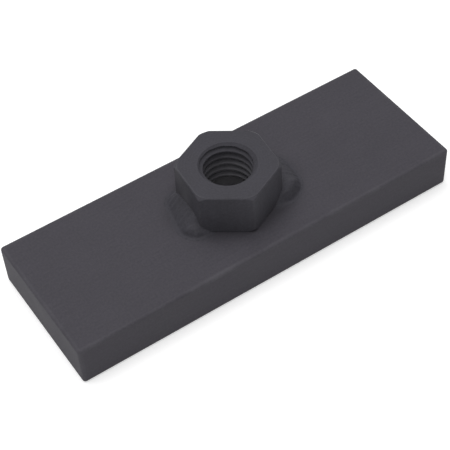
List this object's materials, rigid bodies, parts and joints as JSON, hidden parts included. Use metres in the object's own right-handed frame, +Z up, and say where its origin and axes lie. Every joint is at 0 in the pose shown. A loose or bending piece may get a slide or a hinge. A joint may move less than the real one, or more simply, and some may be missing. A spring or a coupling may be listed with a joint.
{
  "type": "weld nut plate",
  "caption": "Short flat steel bar with a hexagon nut fillet-welded over its central bolt hole, giving a bolt a fixed thread to screw into.",
  "frame": {"origin": "middle of the plate's underside, on the bolt's axis", "axes": "+X along the plate's length, +Z up along the bolt's axis, from the plate to the nut"},
  "size_m": [0.09, 0.032, 0.02],
  "materials": {
    "blackened_flat_bar": "rolled flat bar, black phosphated, satin",
    "blackened_nut": "cold-formed nut, black phosphated, satin",
    "blackened_weld": "rippled weld metal, black phosphated, satin"
  },
  "bodies": {
    "root": {"base_plate": "blackened_flat_bar", "hex_nut": "blackened_nut", "left_weld": "blackened_weld", "right_weld": "blackened_weld"}
  },
  "joints": []
}
